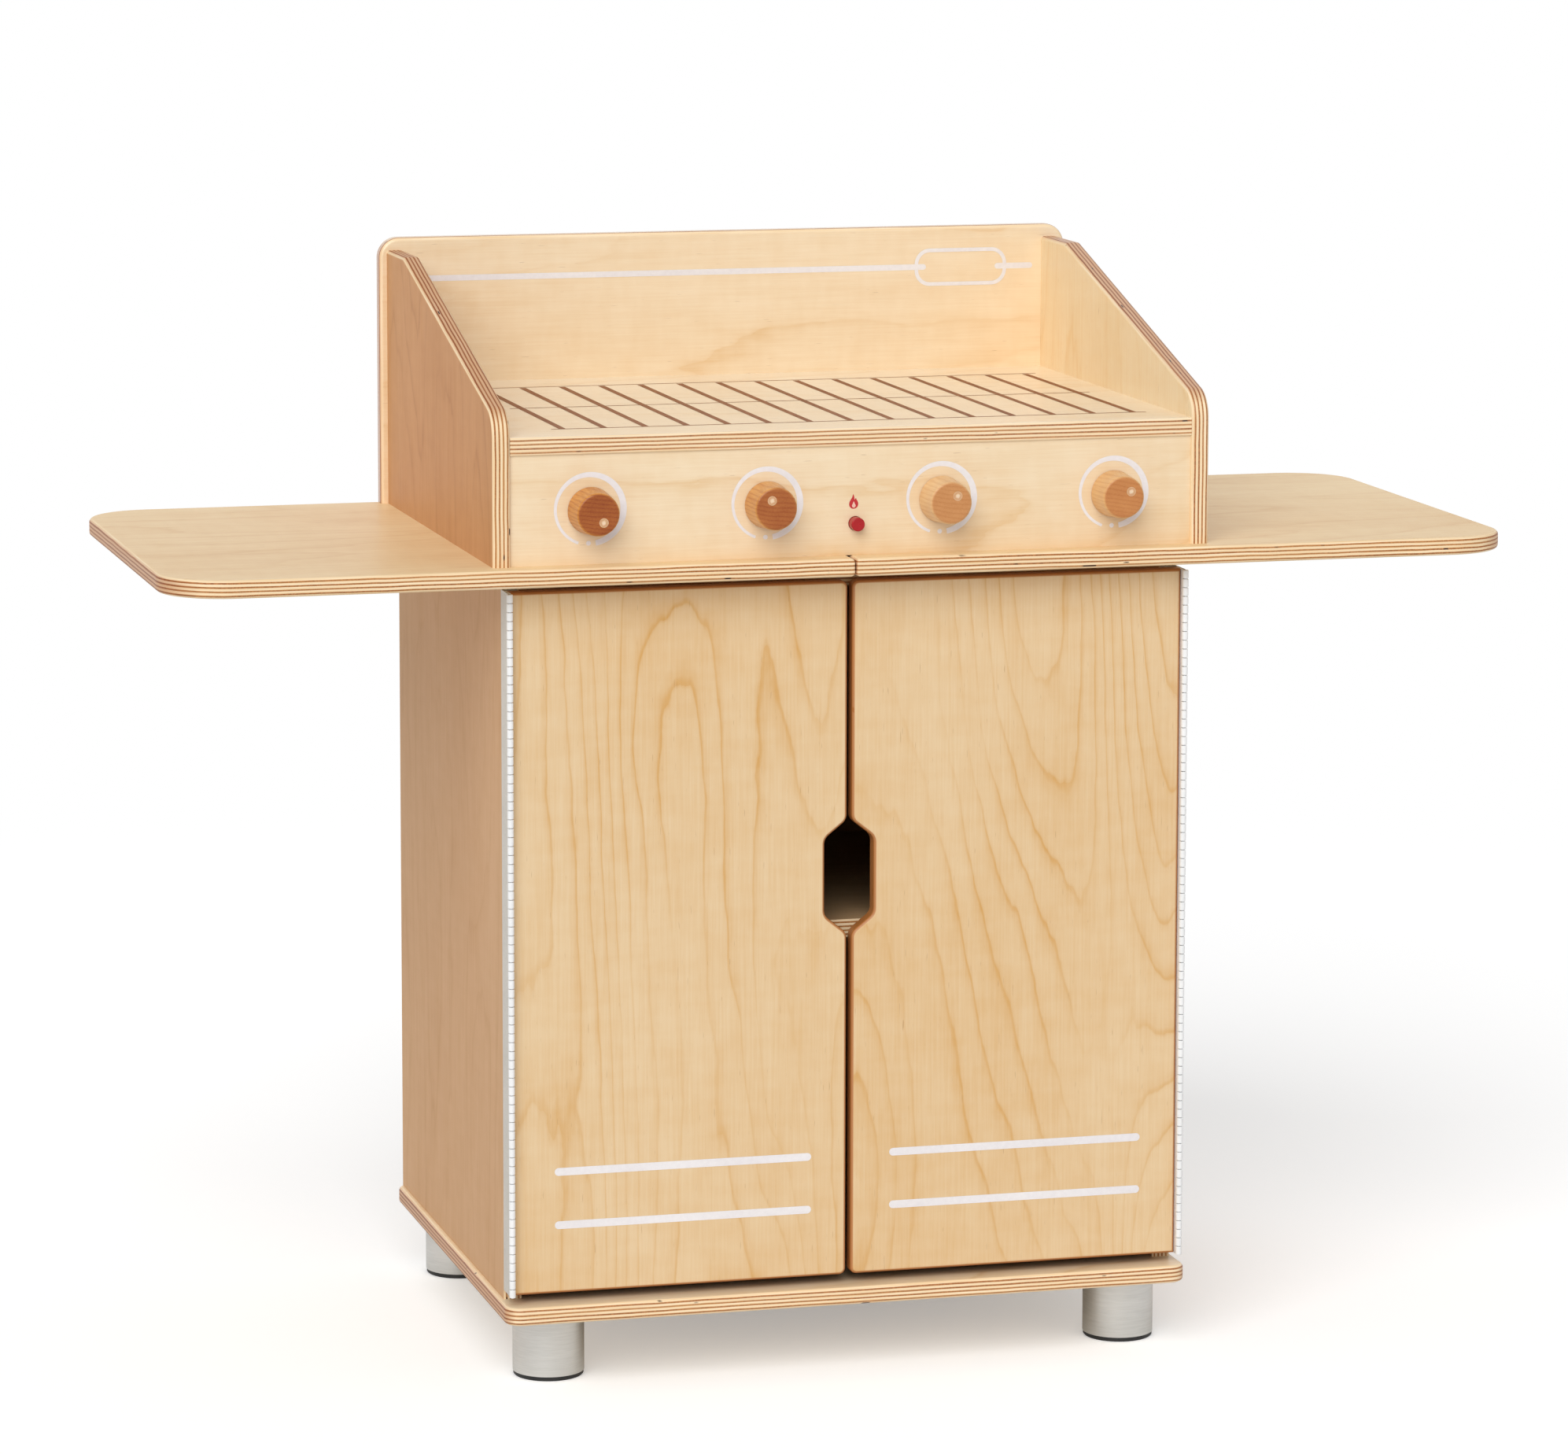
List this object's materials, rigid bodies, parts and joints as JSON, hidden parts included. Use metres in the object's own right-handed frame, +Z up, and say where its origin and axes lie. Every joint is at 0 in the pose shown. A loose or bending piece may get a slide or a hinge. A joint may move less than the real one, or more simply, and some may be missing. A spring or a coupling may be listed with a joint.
{
  "type": "toy barbecue grill",
  "caption": "Wooden play barbecue: cabinet with hinged doors on round feet, wide side counters, slanted hood sides, printed grill deck, turning knobs and a push button.",
  "frame": {"origin": "floor level, in the middle of the outline seen from above", "axes": "+X to the right seen from the front, +Y to the back, +Z up"},
  "size_m": [0.97, 0.409, 0.7815],
  "materials": {
    "panel_wood": "clear satin lacquer on pale birch faces with striped edges",
    "door_wood": "clear satin lacquer on birch, eased honey-coloured edges",
    "knob_wood": "turned hardwood, clear lacquer",
    "pointer": "translucent off-white dot",
    "foot_metal": "satin anodised",
    "foot_core": "black moulded",
    "hinge_metal": "white painted",
    "steel": "zinc plated",
    "button_red": "red moulded",
    "nylon": "natural nylon",
    "catch_plastic": "white moulded",
    "magnet": "dark ferrite"
  },
  "bodies": {
    "cabinet": {"base_panel": "panel_wood", "foot_sleeves": "foot_metal", "foot_cores": "foot_core", "foot_bolts": "steel", "side_left": "panel_wood", "side_right": "panel_wood", "back_panel": "panel_wood", "top_panel": "panel_wood", "mid_shelf": "panel_wood", "case_screws": "steel", "counter_left": "panel_wood", "counter_right": "panel_wood", "counter_screws": "steel", "hood_left": "panel_wood", "hood_right": "panel_wood", "splash_panel": "panel_wood", "grill_deck": "panel_wood", "deck_battens": "panel_wood", "control_panel": "panel_wood", "knob_bushes": "nylon", "button_cup": "nylon", "button_spring": "steel", "frame_leaf_left": "hinge_metal", "frame_leaf_right": "hinge_metal", "hinge_pins": "steel", "hinge_frame_screws": "steel", "catch_bodies": "catch_plastic", "catch_magnets": "magnet"},
    "door_left": {"door_left": "door_wood", "door_leaf_left": "hinge_metal", "hinge_screws_left": "steel", "strike_left": "steel"},
    "door_right": {"door_right": "door_wood", "door_leaf_right": "hinge_metal", "hinge_screws_right": "steel", "strike_right": "steel"},
    "button": {"button_plunger": "button_red", "button_clip": "steel"},
    "knob_1": {"knob_1": "knob_wood", "knob_pointer_1": "pointer", "knob_bolt_1": "steel"},
    "knob_2": {"knob_2": "knob_wood", "knob_pointer_2": "pointer", "knob_bolt_2": "steel"},
    "knob_3": {"knob_3": "knob_wood", "knob_pointer_3": "pointer", "knob_bolt_3": "steel"},
    "knob_4": {"knob_4": "knob_wood", "knob_pointer_4": "pointer", "knob_bolt_4": "steel"}
  },
  "joints": [
    {"name": "door_left_hinge", "type": "hinge", "parent": "cabinet", "child": "door_left", "pos_m": [-0.24415, -0.17465, 0.31795], "axis": [0, 0, -1], "range_deg": [0, 264]},
    {"name": "door_right_hinge", "type": "hinge", "parent": "cabinet", "child": "door_right", "pos_m": [0.24415, -0.17465, 0.31795], "axis": [0, 0, 1], "range_deg": [0, 264]},
    {"name": "knob_1_turn", "type": "hinge", "parent": "cabinet", "child": "knob_1", "pos_m": [-0.18825, -0.17995, 0.6223], "axis": [0, 1, 0], "continuous": true},
    {"name": "knob_2_turn", "type": "hinge", "parent": "cabinet", "child": "knob_2", "pos_m": [-0.06275, -0.17995, 0.6223], "axis": [0, 1, 0], "continuous": true},
    {"name": "knob_3_turn", "type": "hinge", "parent": "cabinet", "child": "knob_3", "pos_m": [0.06275, -0.17995, 0.6223], "axis": [0, 1, 0], "continuous": true},
    {"name": "knob_4_turn", "type": "hinge", "parent": "cabinet", "child": "knob_4", "pos_m": [0.18825, -0.17995, 0.6223], "axis": [0, 1, 0], "continuous": true},
    {"name": "button_press", "type": "slide", "parent": "cabinet", "child": "button", "axis": [0, 1, 0], "range_m": [0, 0.003], "stiffness_N_per_m": 600, "springref_m": -0.002, "deforming": ["button_spring"]}
  ]
}
